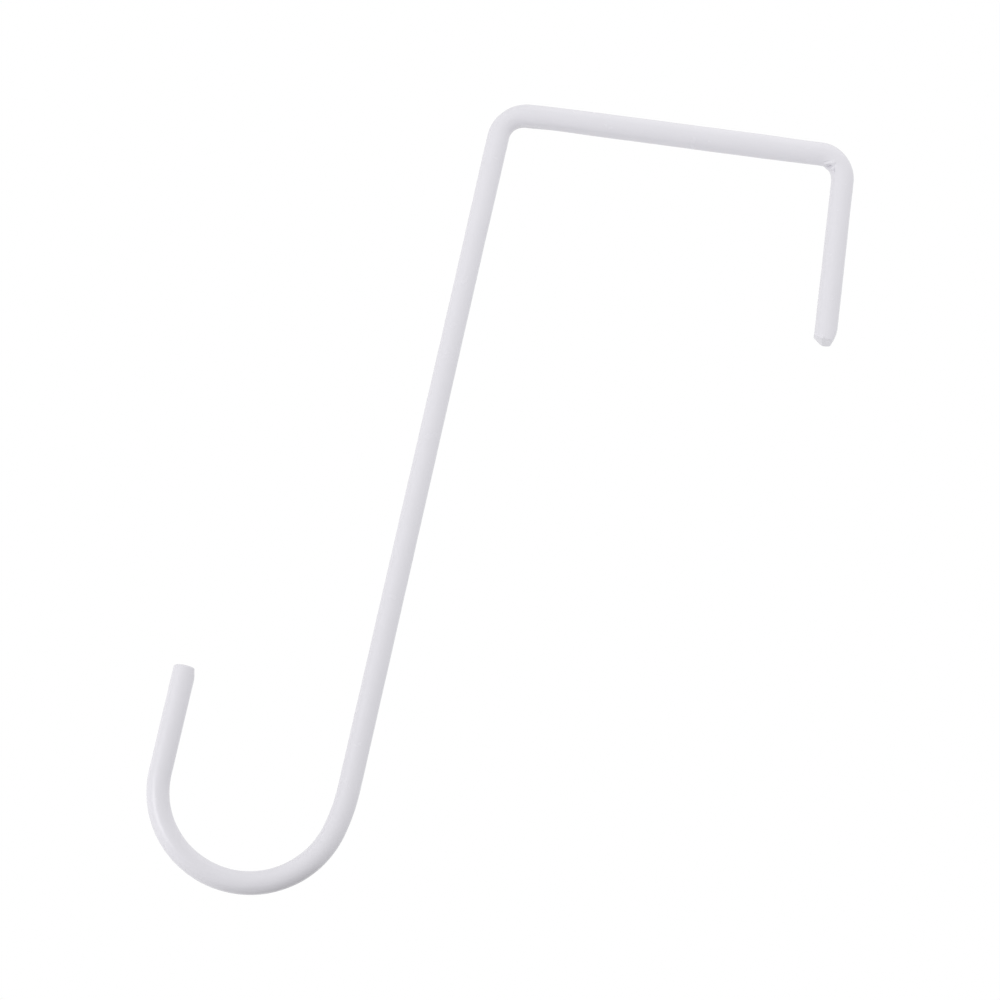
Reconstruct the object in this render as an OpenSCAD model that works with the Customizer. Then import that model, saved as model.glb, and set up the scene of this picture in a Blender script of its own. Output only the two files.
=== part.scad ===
// Fence hook: one length of coated round wire, bent in one plane.
// A square saddle hangs over the top of a fence, and the long shank ends in an open round hook.
// Origin: middle of the saddle's gap, on the underside of the span, where the hook rests on the fence.
// +X runs along the span from the shank to the fence leg, +Z is up, and the wire lies in the plane Y = 0.

/* [Wire] */
// Diameter of the coated wire along its upright stretches
wire_d = 4; // [3:0.1:6]
// Extra thickness of the coating on the span, its bends and the round, where it ran together
level_coat = 0.05; // [0.03:0.01:0.2]
// Radius of the rounded rim at both cut ends
rim_r = 0.5; // [0.2:0.1:1.2]

/* [Fence saddle] */
// Clear width between the shank and the fence leg, at the underside of the span
fence_gap = 57.2; // [20:0.1:150]
// Drop from the underside of the span to the end of the fence leg
leg_drop = 32.6; // [18:0.1:120]
// Outward lean of the fence leg, in degrees
leg_lean = 0.5; // [0:0.5:12]
// Inner radius of the bend between the span and the fence leg
leg_bend_r = 2.45; // [1:0.05:6]
// Length of the sheared flat on the outer side of the leg's end
shear_len = 3.1; // [1:0.1:6]
// Depth of the sheared flat at the end face
shear_depth = 0.9; // [0.3:0.1:1.4]
// Length of the short bevel on the inner side of the leg's end
bevel_len = 1.1; // [0.5:0.1:3]
// Depth of the short bevel at the end face
bevel_depth = 1.6; // [0.4:0.1:1.8]

/* [Shank] */
// Drop from the underside of the span to the seat inside the hook
seat_drop = 139.4; // [80:0.1:400]
// Outward lean of the shank, in degrees
shank_lean = 5; // [0:0.5:12]
// Inner radius of the bend between the shank and the span
shank_bend_r = 2.95; // [1:0.05:6]

/* [Hook] */
// Inner diameter of the round that carries the load
seat_d = 27.7; // [12:0.1:50]
// Inner radius of the wider bend that leads the shank into the round
ease_bend_r = 31.5; // [20:0.5:60]
// Turn of that wider bend, in degrees
ease_turn = 14; // [4:1:30]
// Whole turn from the shank to the tip, in degrees
hook_turn = 180; // [150:1:200]
// Straight length of the tip, from the round to its end
tip_len = 19.1; // [6:0.1:60]

/* [Hidden] */
$fn = 96;

coat_colour = "#dddbe1";
right_angle = 90;
half_turn = 180;

// Length by which a thinner stretch reaches into the thicker bend that it joins
tuck = 0.3;
// Overrun of a cutting block past the wire
overrun = 1;

wire_r = wire_d / 2;
level_r = wire_r + level_coat;
level_d = 2 * level_r;

// Radii of the bends on the wire's middle line
leg_bend_mid = leg_bend_r + level_r;
shank_bend_mid = shank_bend_r + level_r;
ease_mid = ease_bend_r + wire_r;
round_mid = seat_d / 2 + level_r;

// Turns of the bends
shank_turn = right_angle - shank_lean;
leg_turn = right_angle - leg_lean;
round_turn = hook_turn - ease_turn;

// Where the middle lines of the shank and of the leg cross the middle line of the span
shank_cross = -fence_gap / 2 - wire_r / cos(shank_lean) + level_r * tan(shank_lean);
leg_cross = fence_gap / 2 + wire_r / cos(leg_lean) - level_r * tan(leg_lean);

// Straight run of the span, between its two bends
span_from = shank_cross + shank_bend_mid * tan(shank_turn / 2);
span_len = leg_cross - leg_bend_mid * tan(leg_turn / 2) - span_from;

// Depth that each bend takes, on the middle line
eased_lean = shank_lean + ease_turn;
shank_bend_depth = shank_bend_mid * (1 - sin(shank_lean));
leg_bend_depth = leg_bend_mid * (1 - sin(leg_lean));
ease_depth = ease_mid * (sin(eased_lean) - sin(shank_lean));
round_depth = round_mid * (1 - sin(eased_lean));

// Straight lengths that reach the wanted drops
shank_len = (seat_drop + level_d - shank_bend_depth - ease_depth - round_depth) / cos(shank_lean);
leg_len = (leg_drop + level_r - leg_bend_depth) / cos(leg_lean);

// Bend that heads along +Z and turns towards +X; children go on from its turn.
// Its end may reach a little further, into a thicker bend that follows.
module bend(d, middle_r, turn, reach = 0) {
    reach_turn = half_turn * reach / (PI * middle_r);
    translate([middle_r, 0, 0]) {
        rotate([right_angle, 0, half_turn])
            rotate_extrude(angle = turn + reach_turn)
                translate([middle_r, 0])
                    circle(d = d);
        rotate([0, turn, 0])
            translate([-middle_r, 0, 0])
                children();
    }
}

// Straight upright stretch along +Z that starts inside the bend before it; children go on from its end
module upright(length) {
    translate([0, 0, -tuck]) cylinder(h = length + tuck, d = wire_d);
    translate([0, 0, length]) children();
}

// Turns the wire over about its own line, so that the next bend or cut is on its other side
module turned_over() {
    rotate([0, 0, half_turn]) children();
}

// Cut end with a rounded rim
module rounded_end() {
    face_r = wire_r - rim_r;
    rotate_extrude() {
        square([face_r, rim_r]);
        translate([face_r, 0])
            intersection() {
                circle(r = rim_r);
                square(rim_r);
            }
    }
}

// Upright stretch of the given whole length that ends in a rounded rim
module ended_upright(length) {
    upright(length - rim_r) rounded_end();
}

// Block that cuts a slanting flat off the outer side of an upright's end, which lies at the given length
module slope_block(length, slope_len, slope_depth) {
    slope_angle = atan(slope_depth / slope_len);
    translate([-wire_r, 0, length - slope_len])
        rotate([0, slope_angle, 0])
            translate([-wire_d, -wire_r - overrun, -overrun])
                cube([wire_d, wire_d + 2 * overrun, slope_len + wire_d + overrun]);
}

// Bend, shank and hook, from the shank's end of the span
module shank_and_hook() {
    bend(level_d, shank_bend_mid, shank_turn)
        upright(shank_len)
            turned_over()
                bend(wire_d, ease_mid, ease_turn, reach = tuck)
                    bend(level_d, round_mid, round_turn)
                        ended_upright(tip_len);
}

// Bend and leg, from the leg's end of the span
module fence_leg() {
    bend(level_d, leg_bend_mid, leg_turn)
        difference() {
            ended_upright(leg_len);
            slope_block(leg_len, shear_len, shear_depth);
            turned_over() slope_block(leg_len, bevel_len, bevel_depth);
        }
}

module hook() {
    color(coat_colour)
        translate([span_from, 0, level_r]) {
            rotate([0, right_angle, 0]) {
                cylinder(h = span_len, d = level_d);
                translate([0, 0, span_len]) fence_leg();
            }
            rotate([half_turn, right_angle, 0]) shank_and_hook();
        }
}

hook();
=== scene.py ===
# Looks of the fence hook: one smooth skin of coated wire along the CAD middle line, in a white studio.
# The frame is the hook's own: metres, +X along the span, +Z up as it hangs, the wire in the plane Y = 0.
import math

import bpy
import numpy as np
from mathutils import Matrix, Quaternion, Vector


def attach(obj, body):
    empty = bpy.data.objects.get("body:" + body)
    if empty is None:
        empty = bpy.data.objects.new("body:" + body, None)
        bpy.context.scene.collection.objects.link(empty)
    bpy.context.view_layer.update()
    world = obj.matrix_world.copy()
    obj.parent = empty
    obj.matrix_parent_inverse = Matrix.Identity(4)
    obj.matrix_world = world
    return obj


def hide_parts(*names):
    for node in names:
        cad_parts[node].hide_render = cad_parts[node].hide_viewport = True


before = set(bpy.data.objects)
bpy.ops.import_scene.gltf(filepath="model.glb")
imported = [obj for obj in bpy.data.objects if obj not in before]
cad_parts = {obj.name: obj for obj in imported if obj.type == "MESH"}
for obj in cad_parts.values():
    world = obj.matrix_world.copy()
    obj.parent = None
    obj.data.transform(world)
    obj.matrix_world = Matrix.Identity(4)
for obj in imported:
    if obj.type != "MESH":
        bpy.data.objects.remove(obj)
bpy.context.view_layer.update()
MM = 0.001

# Driving sizes of the bent wire, in millimetres and degrees, as in the part's source
WIRE_R = 2.0
LEVEL_R = 2.05
FENCE_GAP = 57.2
LEG_DROP = 32.6
LEG_LEAN = 0.5
LEG_BEND_R = 2.45
SEAT_DROP = 139.4
SHANK_LEAN = 5.0
SHANK_BEND_R = 2.95
SEAT_D = 27.7
EASE_BEND_R = 31.5
EASE_TURN = 14.0
HOOK_TURN = 180.0
TIP_LEN = 19.1

# Length at the leg's end that has finer rings, for its cut
LEG_END_LEN = 2.4

# Radius of the coated wire near the start and near the end of each stretch.
# The coat ran thin down the shank and gathered on the level parts.
COAT_R = {
    "tip": (2.0, 2.0),
    "round": (1.99, 2.065),
    "ease": (2.0, 1.98),
    "shank": (1.96, 1.895),
    "shank_bend": (1.96, 1.99),
    "span": (2.11, 2.145),
    "leg_bend": (2.03, 2.0),
    "leg": (1.985, 2.005),
    "leg_end": (2.005, 2.005),
}
# Share of a stretch, at each of its ends, over which its radius runs into the next one's
COAT_BLEND_SHARE = 0.2
# Faint waves in the coat: height, length along the wire, and count about the wire
COAT_WAVES = ((0.006, 17.0, 1), (0.005, 9.3, 2), (0.003, 5.1, 3))

# Rounded rims of the two cut ends: depth along the wire by width across it.
# They are given at the wire's left, front, right and back as it runs from the tip to the leg.
RIMS = {
    "tip": ((0.45, 0.4), (0.45, 0.4), (0.5, 0.45), (0.5, 0.45)),
    "leg_end": ((0.25, 0.25), (0.18, 0.2), (0.3, 0.3), (0.5, 0.5)),
}
# Height of each cut face's middle above its rim, and how much further back its front lies than its back
FACE_CROWNS = {"tip": 0.1, "leg_end": -0.05}
FACE_TILTS = {"tip": 0.0, "leg_end": 0.37}

# Slopes that the cutter left beside the cut faces, rounded over by the coat.
# The side is 1 for the wire's left and -1 for its right, and the power is 1 for a flat and 2 for a curve.
CUTTER_SLOPES = {
    "tip": ({"side": 1, "length": 1.6, "depth": 0.35, "power": 1},),
    "leg_end": (
        {"side": 1, "length": 3.1, "depth": 0.98, "power": 2},
        {"side": -1, "length": 1.12, "depth": 1.85, "power": 1},
    ),
}
# Width over which the edges of these slopes are rounded
SLOPE_SOFTNESS = 0.2

# Swells and hollows of the skin where the wire was bent and cut.
# Each lies some way along the wire, from the start of its stretch or from the wire's end.
# Its angle about the wire goes from the inner side of the bends to the front.
# It fades over half widths along and about, and a slant moves it along with the angle.
MARKS = {
    # The inside of the shank's bend is full towards the span, and its outside is drawn flat
    "shank_bend": (
        {"height": 0.3, "along": 7.3, "about": 0, "half_along": 2.8, "half_about": 65, "slant": 0.0},
        {"height": -0.13, "along": 3.7, "about": 180, "half_along": 3.6, "half_about": 65, "slant": 0.0},
    ),
    # The coat is squeezed into a lip, with grooves beside it, on the inside of the leg's bend
    "leg_bend": (
        {"height": 0.2, "along": 3.68, "about": 12, "half_along": 0.36, "half_about": 30, "slant": 0.03},
        {"height": -0.65, "along": 2.86, "about": 21, "half_along": 0.48, "half_about": 25, "slant": 0.03},
        {"height": -0.13, "along": 1.8, "about": 40, "half_along": 0.24, "half_about": 14, "slant": 0.04},
        {"height": -0.4, "along": 4.85, "about": 44, "half_along": 0.5, "half_about": 7, "slant": -0.03},
        {"height": 0.2, "along": 3.4, "about": 67, "half_along": 0.36, "half_about": 7, "slant": 0.0},
        {"height": 0.08, "along": 6.2, "about": 0, "half_along": 0.9, "half_about": 40, "slant": 0.0},
        {"height": 0.09, "along": 1.2, "about": 180, "half_along": 2.2, "half_about": 65, "slant": 0.0},
    ),
    # A bead of coat stands at the front of the leg's cut, and a ridge at its inner side
    "end": (
        {"height": 0.2, "along": -0.58, "about": 75, "half_along": 0.3, "half_about": 8, "slant": 0.0},
        {"height": 0.1, "along": -1.15, "about": 0, "half_along": 0.25, "half_about": 35, "slant": 0.0},
    ),
}

# Points about the wire in a ring of the skin, distance between rings on each stretch, and rings on a cut end
SIDES = 128
RING_STEP = {
    "tip": 0.7,
    "round": 0.45,
    "ease": 0.6,
    "shank": 1.0,
    "shank_bend": 0.16,
    "span": 0.8,
    "leg_bend": 0.06,
    "leg": 0.5,
    "leg_end": 0.08,
}
RIM_RINGS = 16
FACE_RINGS = 10

# Camera of the photograph: it stands below the hook and in front of it, looks up and is rolled
CAMERA_AIM = (-22.09, 0.0, -68.36)
CAMERA_DISTANCE = 1046.4
CAMERA_LOOK_UP = 14.25
CAMERA_ROLL = 7.53
CAMERA_LENS = 216.0
CAMERA_SENSOR = 36.0

# Studio: even light from all round, soft lamps close by, and a floor well below the camera.
# A lamp's glow is the brightness of its face, as a multiple of full white.
# A fill lamp leaves no highlight on the coat, and a sheen lamp shows only as a streak of gloss.
AMBIENT_LEVEL = 0.77
LAMP_AIM = (-20.0, 0.0, -60.0)
LAMPS = (
    {"name": "left_fill", "kind": "fill", "place": (-634.0, -150.0, -400.0), "size": 480.0, "glow": 2.0},
    {"name": "top_fill", "kind": "fill", "place": (10.0, -250.0, 155.0), "size": 600.0, "glow": 0.45},
    {"name": "left_sheen", "kind": "sheen", "place": (-278.0, -215.0, -145.0), "size": 155.0, "glow": 2.7},
    {"name": "top_sheen", "kind": "sheen", "place": (25.0, -26.0, 110.0), "size": 130.0, "glow": 0.5},
)
FLOOR_MIDDLE = (0.0, 0.0, -1400.0)
FLOOR_SIZE = 30000.0
# Brightness added to the floor where it is seen, which brings it up to the white of the backdrop
FLOOR_LIFT = 0.27
# Grey card below the round, unseen by the camera, which deepens the shade on the round's outer side
CARD_MIDDLE = (-37.0, 5.0, -190.0)
CARD_SIZE = 90.0
CARD_TILT = 27.0

# Colours, linear
WHITE = (1.0, 1.0, 1.0, 1.0)
COAT_COLOUR = (0.735, 0.725, 0.765, 1.0)
COAT_PALE_COLOUR = (0.75, 0.74, 0.78, 1.0)
FLOOR_COLOUR = (0.94, 0.94, 0.95, 1.0)
CARD_COLOUR = (0.37, 0.37, 0.37, 1.0)

# Unevenness of the coat: size of its features in millimetres, and their detail
TONE_NOISE = {"feature_mm": 6.0, "detail": 3.0}
SHINE_NOISE = {"feature_mm": 2.5, "detail": 4.0}
PEEL_NOISE = {"feature_mm": 0.7, "detail": 2.0}
# Roughness of the coat where it is shiniest and where it is dullest
COAT_ROUGHNESS = (0.22, 0.3)
# Strength and height of its orange peel
PEEL_STRENGTH = 0.25
PEEL_HEIGHT = 0.02


def sin_deg(angle):
    return math.sin(math.radians(angle))


def cos_deg(angle):
    return math.cos(math.radians(angle))


def tan_deg(angle):
    return math.tan(math.radians(angle))


def straight(name, length):
    return {"name": name, "length": length, "turn": 0.0}


def arc(name, middle_r, turn):
    return {"name": name, "length": middle_r * math.radians(abs(turn)), "turn": math.radians(turn)}


def wire_stretches():
    """Stretches of the wire from the tip's end to the leg's end, and where the straight span starts."""
    round_mid = SEAT_D / 2 + LEVEL_R
    ease_mid = EASE_BEND_R + WIRE_R
    shank_mid = SHANK_BEND_R + LEVEL_R
    leg_mid = LEG_BEND_R + LEVEL_R
    shank_turn = 90 - SHANK_LEAN
    leg_turn = 90 - LEG_LEAN
    eased_lean = SHANK_LEAN + EASE_TURN
    bend_depths = (
        shank_mid * (1 - sin_deg(SHANK_LEAN))
        + ease_mid * (sin_deg(eased_lean) - sin_deg(SHANK_LEAN))
        + round_mid * (1 - sin_deg(eased_lean))
    )
    shank_len = (SEAT_DROP + 2 * LEVEL_R - bend_depths) / cos_deg(SHANK_LEAN)
    leg_len = (LEG_DROP + LEVEL_R - leg_mid * (1 - sin_deg(LEG_LEAN))) / cos_deg(LEG_LEAN)
    shank_cross = -FENCE_GAP / 2 - WIRE_R / cos_deg(SHANK_LEAN) + LEVEL_R * tan_deg(SHANK_LEAN)
    leg_cross = FENCE_GAP / 2 + WIRE_R / cos_deg(LEG_LEAN) - LEVEL_R * tan_deg(LEG_LEAN)
    span_from = shank_cross + shank_mid * tan_deg(shank_turn / 2)
    span_to = leg_cross - leg_mid * tan_deg(leg_turn / 2)
    stretches = (
        straight("tip", TIP_LEN),
        arc("round", round_mid, HOOK_TURN - EASE_TURN),
        arc("ease", ease_mid, EASE_TURN),
        straight("shank", shank_len),
        arc("shank_bend", shank_mid, -shank_turn),
        straight("span", span_to - span_from),
        arc("leg_bend", leg_mid, -leg_turn),
        straight("leg", leg_len - LEG_END_LEN),
        straight("leg_end", LEG_END_LEN),
    )
    return stretches, span_from


def walk(point, heading, stretch, along):
    """Point and heading after some of a stretch. Turns to the left, seen from the front, are positive."""
    if stretch["turn"] == 0:
        return point + along * np.array([math.cos(heading), math.sin(heading)]), heading
    curvature = stretch["turn"] / stretch["length"]
    end = heading + curvature * along
    step = np.array([math.sin(end) - math.sin(heading), math.cos(heading) - math.cos(end)])
    return point + step / curvature, end


def run_about(values, about):
    """Smooth run about the wire of a value given at the wire's left, front, right and back."""
    left, front, right, back = values
    even = (left + front + right + back) / 4
    sway = (left - right) / 2 * np.cos(about) + (front - back) / 2 * np.sin(about)
    return even + sway + (left - front + right - back) / 4 * np.cos(2 * about)


def face_depth(name, share):
    """Depth of a cut face below the end of the wire, at a share of the way from its middle to its rim."""
    crown = FACE_CROWNS[name]
    return crown * share**2 + max(-crown, 0.0)


def middle_depth(name):
    """Depth of a cut face's middle below the end of the wire."""
    return face_depth(name, 0) + FACE_TILTS[name] / 2


def end_rings(name, end_r, about):
    """Rings of a cut end from its face to its rim: depth below the end, how far the ring's outline is drawn
    in, and its share of the way from the face's middle to that outline."""
    depths, widths = (run_about(values, about) for values in zip(*RIMS[name]))
    edge = face_depth(name, 1)
    rings = []
    for share in np.arange(1, FACE_RINGS) / FACE_RINGS:
        rings.append((face_depth(name, share), widths, share))
    for turn in np.linspace(0, math.pi / 2, RIM_RINGS):
        rings.append((edge + (depths - edge) * (1 - math.cos(turn)), widths * (1 - math.sin(turn)), 1.0))
    tilted = []
    for depth, inset, share in rings:
        frontward = share * (1 - inset / end_r) * np.sin(about)
        tilted.append((depth + FACE_TILTS[name] / 2 * (1 + frontward), inset, share))
    return tilted


def stretch_rings(stretch, about):
    """Rings of a stretch, without one at its very start: distance along it, how far each point of the ring
    lies ahead of that distance, how far it is drawn in, and the ring's share of its outline."""
    name = stretch["name"]
    length = stretch["length"]
    level = np.zeros_like(about)
    if name == "tip":
        cut = end_rings(name, COAT_R[name][0], about)
        first = max(depth.max() for depth, inset, share in cut)
        return [(0.0, depth, inset, share) for depth, inset, share in cut] + [
            (along, level, level, 1.0) for along in ring_places(name, first, length)
        ]
    if name == "leg_end":
        cut = end_rings(name, COAT_R[name][1], about)
        last = length - max(depth.max() for depth, inset, share in cut)
        return [(along, level, level, 1.0) for along in ring_places(name, 0.0, last)[:-1]] + [
            (length, -depth, inset, share) for depth, inset, share in reversed(cut)
        ]
    return [(along, level, level, 1.0) for along in ring_places(name, 0.0, length)]


def ring_places(name, first, last):
    """Even places for the rings of a stretch, after the first and up to the last."""
    count = round((last - first) / RING_STEP[name])
    return np.linspace(first, last, count + 1)[1:]


def middle_line(stretches, span_from, about):
    """The wire's rings from end to end, as arrays, and the middle points of its two cut faces."""
    point = np.zeros(2)
    heading = math.radians(90 - SHANK_LEAN - HOOK_TURN)
    before = 0.0
    starts = {}
    rings = []
    for stretch in stretches:
        starts[stretch["name"]] = before
        if stretch["name"] == "span":
            span_start = point
        for along, ahead, inset, share in stretch_rings(stretch, about):
            place, direction = walk(point, heading, stretch, along)
            rings.append((before + along, ahead, inset, share, place, direction))
        if stretch["name"] == "tip":
            first_middle, _ = walk(point, heading, stretch, middle_depth("tip"))
        if stretch["name"] == "leg_end":
            last_middle, _ = walk(point, heading, stretch, stretch["length"] - middle_depth("leg_end"))
        point, heading = walk(point, heading, stretch, stretch["length"])
        before += stretch["length"]
    starts["end"] = before
    at, ahead, inset, shares, places, headings = (np.array(column) for column in zip(*rings))
    # The walk starts at zero, so the whole line moves to where the frame has the span
    offset = np.array([span_from, LEVEL_R]) - span_start
    return {
        "starts": starts,
        "at": at,
        "ahead": ahead,
        "inset": inset,
        "share": shares,
        "place": places + offset,
        "heading": headings,
        "face_middles": (first_middle + offset, last_middle + offset),
    }


def coat_radii(stretches, at):
    """Radius of the coated wire at each distance along it."""
    knots = []
    radii = []
    before = 0.0
    for stretch in stretches:
        blend = COAT_BLEND_SHARE * stretch["length"]
        knots += [before + blend, before + stretch["length"] - blend]
        radii += COAT_R[stretch["name"]]
        before += stretch["length"]
    return np.interp(at, knots, radii)


def coat_waves(at, about):
    """Faint waves of a coat that ran before it set."""
    waves = np.zeros_like(at)
    for height, length, count in COAT_WAVES:
        waves += height * np.sin(2 * math.pi * at / length + count * about)
    return waves


def mark_heights(starts, at, about):
    """Height of all the swells and hollows, over every point of the skin."""
    # The inner side of the bends lies to the right of the way the wire goes, half a turn from its left
    from_inner = 180 - np.degrees(about)
    heights = np.zeros_like(at)
    for name, marks in MARKS.items():
        for mark in marks:
            across = (from_inner - mark["about"] + 180) % 360 - 180
            forth = at - starts[name] - mark["along"] - mark["slant"] * across
            fade = (forth / mark["half_along"]) ** 2 + (across / mark["half_about"]) ** 2
            heights += mark["height"] * np.exp(-fade)
    return heights


def cut_back(leftward, to_end, slopes, radii):
    """Leftward distances of the skin's points, cut back along the cutter's slopes with rounded edges."""
    for slope in slopes:
        share = np.clip(1 - to_end / slope["length"], 0, 1)
        limit = radii - slope["depth"] * share ** slope["power"]
        softness = SLOPE_SOFTNESS * np.sqrt(share)
        sideward = slope["side"] * leftward
        sideward = (sideward + limit - np.sqrt((sideward - limit) ** 2 + softness**2)) / 2
        leftward = slope["side"] * sideward
    return leftward


def skin_points(line, radii, about):
    """Points of the skin, ring by ring, in millimetres. Each ring goes from the wire's left to its front."""
    at = line["at"][:, None] + line["ahead"]
    radii = radii[:, None]
    full = radii + coat_waves(at, about) + mark_heights(line["starts"], at, about)
    reach = full * (1 - line["inset"] / radii)
    leftward = cut_back(reach * np.cos(about), at, CUTTER_SLOPES["tip"], radii)
    leftward = cut_back(leftward, line["starts"]["end"] - at, CUTTER_SLOPES["leg_end"], radii)
    leftward = leftward * line["share"][:, None]
    frontward = reach * np.sin(about) * line["share"][:, None]
    sine = np.sin(line["heading"])[:, None]
    cosine = np.cos(line["heading"])[:, None]
    x = line["place"][:, :1] + cosine * line["ahead"] - sine * leftward
    z = line["place"][:, 1:] + sine * line["ahead"] + cosine * leftward
    return np.stack([x, -frontward, z], axis=2)


def skin_faces(ring_count):
    """Quads between the rings, and a fan on each cut end round its middle point."""
    first_middle = ring_count * SIDES
    last_middle = first_middle + 1
    last_ring = (ring_count - 1) * SIDES
    faces = []
    for side in range(SIDES):
        following = (side + 1) % SIDES
        faces.append((first_middle, following, side))
        faces.append((last_middle, last_ring + side, last_ring + following))
        for ring in range(0, last_ring, SIDES):
            faces.append((ring + side, ring + following, ring + SIDES + following, ring + SIDES + side))
    return faces


def make_coated_wire():
    """The whole hook as one closed mesh."""
    stretches, span_from = wire_stretches()
    about = np.linspace(0, 2 * math.pi, SIDES, endpoint=False)
    line = middle_line(stretches, span_from, about)
    points = skin_points(line, coat_radii(stretches, line["at"]), about)
    middles = np.array([(x, 0.0, z) for x, z in line["face_middles"]])
    vertices = np.concatenate([points.reshape(-1, 3), middles]) * MM
    mesh = bpy.data.meshes.new("coated_wire")
    mesh.from_pydata(vertices.tolist(), [], skin_faces(len(points)))
    mesh.shade_smooth()
    wire = bpy.data.objects.new("coated_wire", mesh)
    bpy.context.scene.collection.objects.link(wire)
    return wire


def new_material(name):
    """An empty node material and its output."""
    material = bpy.data.materials.new(name)
    material.use_nodes = True
    tree = material.node_tree
    tree.nodes.clear()
    return material, tree, tree.nodes.new("ShaderNodeOutputMaterial")


def noise(tree, place, feature_mm, detail):
    """Noise with features of about the given size, over the object's own place."""
    node = tree.nodes.new("ShaderNodeTexNoise")
    node.inputs["Scale"].default_value = 1 / (feature_mm * MM)
    node.inputs["Detail"].default_value = detail
    tree.links.new(place, node.inputs["Vector"])
    return node.outputs["Fac"]


def coat_material():
    """Smooth white dip coat: semi-gloss, faintly cool, a little uneven in tone, shine and surface."""
    material, tree, output = new_material("white_dip_coat")
    shader = tree.nodes.new("ShaderNodeBsdfPrincipled")
    tree.links.new(shader.outputs["BSDF"], output.inputs["Surface"])
    place = tree.nodes.new("ShaderNodeTexCoord").outputs["Object"]

    tone = tree.nodes.new("ShaderNodeMix")
    tone.data_type = "RGBA"
    tone.inputs["A"].default_value = COAT_COLOUR
    tone.inputs["B"].default_value = COAT_PALE_COLOUR
    tree.links.new(noise(tree, place, **TONE_NOISE), tone.inputs["Factor"])
    tree.links.new(tone.outputs["Result"], shader.inputs["Base Color"])

    shine = tree.nodes.new("ShaderNodeMapRange")
    shiniest, dullest = COAT_ROUGHNESS
    shine.inputs["To Min"].default_value = shiniest
    shine.inputs["To Max"].default_value = dullest
    tree.links.new(noise(tree, place, **SHINE_NOISE), shine.inputs["Value"])
    tree.links.new(shine.outputs["Result"], shader.inputs["Roughness"])

    peel = tree.nodes.new("ShaderNodeBump")
    peel.inputs["Strength"].default_value = PEEL_STRENGTH
    peel.inputs["Distance"].default_value = PEEL_HEIGHT * MM
    tree.links.new(noise(tree, place, **PEEL_NOISE), peel.inputs["Height"])
    tree.links.new(peel.outputs["Normal"], shader.inputs["Normal"])
    return material


def seen_or_reflected(tree):
    """1 for rays from the camera and for reflected and refracted ones, and 0 for those that gather light."""
    path = tree.nodes.new("ShaderNodeLightPath")
    seen = path.outputs["Is Camera Ray"]
    for ray in ("Is Glossy Ray", "Is Transmission Ray"):
        either = tree.nodes.new("ShaderNodeMath")
        either.operation = "MAXIMUM"
        tree.links.new(seen, either.inputs[0])
        tree.links.new(path.outputs[ray], either.inputs[1])
        seen = either.outputs["Value"]
    return seen


def card_material():
    """Plain matt grey."""
    material, tree, output = new_material("grey_card")
    matt = tree.nodes.new("ShaderNodeBsdfDiffuse")
    matt.inputs["Color"].default_value = CARD_COLOUR
    tree.links.new(matt.outputs["BSDF"], output.inputs["Surface"])
    return material


def floor_material():
    """Pale matt floor that takes shadows and is lifted to the backdrop's white where it is seen."""
    material, tree, output = new_material("pale_floor")
    matt = tree.nodes.new("ShaderNodeBsdfDiffuse")
    matt.inputs["Color"].default_value = FLOOR_COLOUR
    strength = tree.nodes.new("ShaderNodeMath")
    strength.operation = "MULTIPLY"
    strength.inputs[1].default_value = FLOOR_LIFT
    tree.links.new(seen_or_reflected(tree), strength.inputs[0])
    lift = tree.nodes.new("ShaderNodeEmission")
    tree.links.new(strength.outputs["Value"], lift.inputs["Strength"])
    both = tree.nodes.new("ShaderNodeAddShader")
    tree.links.new(matt.outputs["BSDF"], both.inputs[0])
    tree.links.new(lift.outputs["Emission"], both.inputs[1])
    tree.links.new(both.outputs["Shader"], output.inputs["Surface"])
    return material


def make_sheet(name, middle, size, tilt, material):
    """A flat square of the studio. A tilt raises its right side."""
    rightward = Vector((cos_deg(tilt), 0, sin_deg(tilt))) * size / 2
    backward = Vector((0, size / 2, 0))
    signs = ((-1, -1), (1, -1), (1, 1), (-1, 1))
    corners = [(Vector(middle) + right * rightward + back * backward) * MM for right, back in signs]
    mesh = bpy.data.meshes.new(name)
    mesh.from_pydata(corners, [], [(0, 1, 2, 3)])
    mesh.materials.append(material)
    sheet = bpy.data.objects.new(name, mesh)
    bpy.context.scene.collection.objects.link(sheet)
    return sheet


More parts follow.
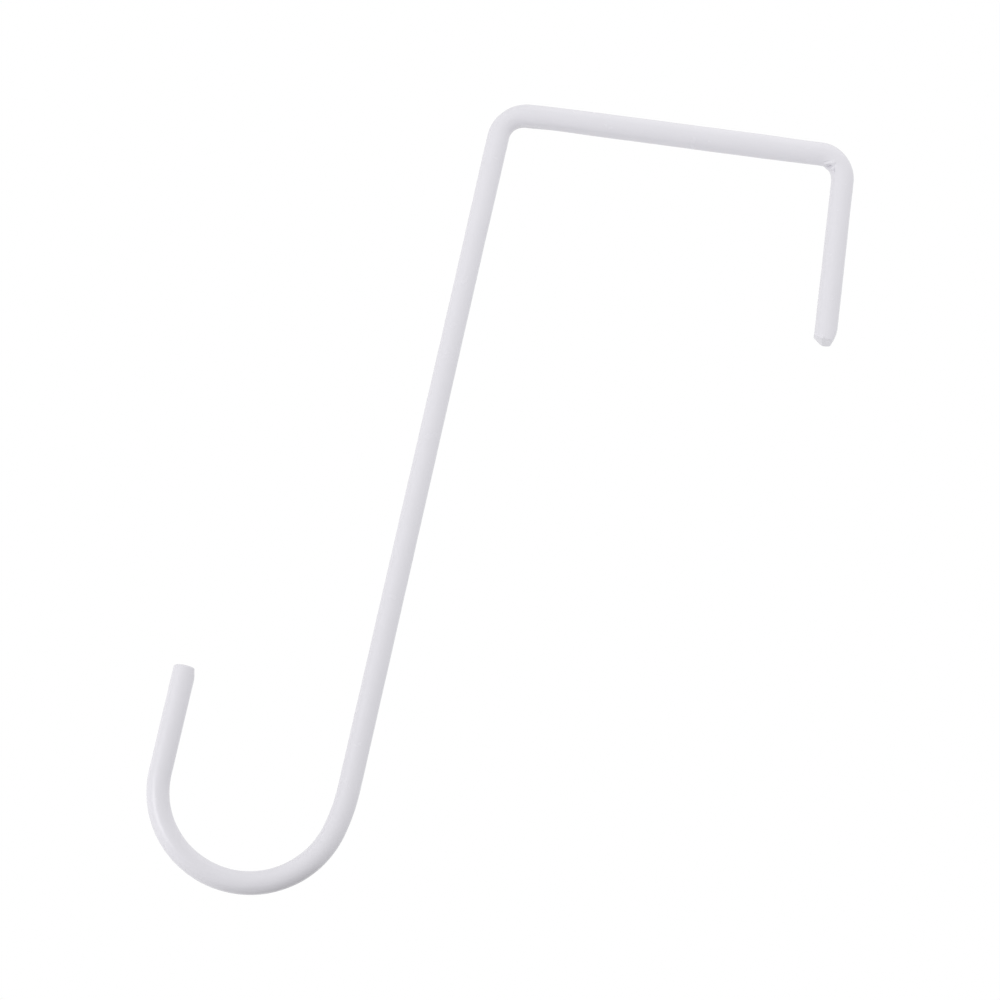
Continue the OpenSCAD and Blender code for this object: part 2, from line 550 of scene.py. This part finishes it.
def make_world():
    """Even light from all round, behind a backdrop that the camera and reflections see as white."""
    world = bpy.data.worlds.new("studio")
    world.use_nodes = True
    tree = world.node_tree
    tree.nodes.clear()
    light = tree.nodes.new("ShaderNodeBackground")
    light.inputs["Color"].default_value = WHITE
    light.inputs["Strength"].default_value = AMBIENT_LEVEL
    backdrop = tree.nodes.new("ShaderNodeBackground")
    backdrop.inputs["Color"].default_value = WHITE
    mix = tree.nodes.new("ShaderNodeMixShader")
    tree.links.new(seen_or_reflected(tree), mix.inputs["Fac"])
    tree.links.new(light.outputs["Background"], mix.inputs[1])
    tree.links.new(backdrop.outputs["Background"], mix.inputs[2])
    output = tree.nodes.new("ShaderNodeOutputWorld")
    tree.links.new(mix.outputs["Shader"], output.inputs["Surface"])
    bpy.context.scene.world = world


def make_lamp(name, kind, place, size, glow):
    """A square soft lamp that faces the hook."""
    away = Vector(place) - Vector(LAMP_AIM)
    data = bpy.data.lights.new(name, "AREA")
    data.shape = "SQUARE"
    data.size = size * MM
    data.energy = glow * math.pi * (size * MM) ** 2
    lamp = bpy.data.objects.new(name, data)
    lamp.location = Vector(place) * MM
    lamp.rotation_mode = "QUATERNION"
    lamp.rotation_quaternion = away.to_track_quat("Z", "Y")
    lamp.visible_camera = False
    lamp.visible_glossy = kind == "sheen"
    lamp.visible_diffuse = kind == "fill"
    bpy.context.scene.collection.objects.link(lamp)


def make_camera():
    back = Vector((0, -cos_deg(CAMERA_LOOK_UP), -sin_deg(CAMERA_LOOK_UP)))
    data = bpy.data.cameras.new("camera")
    data.lens = CAMERA_LENS
    data.sensor_width = CAMERA_SENSOR
    camera = bpy.data.objects.new("camera", data)
    camera.location = (Vector(CAMERA_AIM) + CAMERA_DISTANCE * back) * MM
    camera.rotation_mode = "QUATERNION"
    roll = Quaternion((0, 0, 1), math.radians(CAMERA_ROLL))
    camera.rotation_quaternion = (-back).to_track_quat("-Z", "Y") @ roll
    bpy.context.scene.collection.objects.link(camera)
    bpy.context.scene.camera = camera


wire = make_coated_wire()
wire.data.materials.append(coat_material())
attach(wire, "root")
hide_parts("hook")

floor = make_sheet("floor", FLOOR_MIDDLE, FLOOR_SIZE, 0.0, floor_material())
card = make_sheet("grey_card", CARD_MIDDLE, CARD_SIZE, CARD_TILT, card_material())
card.visible_camera = False
make_world()
for lamp in LAMPS:
    make_lamp(**lamp)
make_camera()
bpy.context.scene.view_settings.view_transform = "Standard"
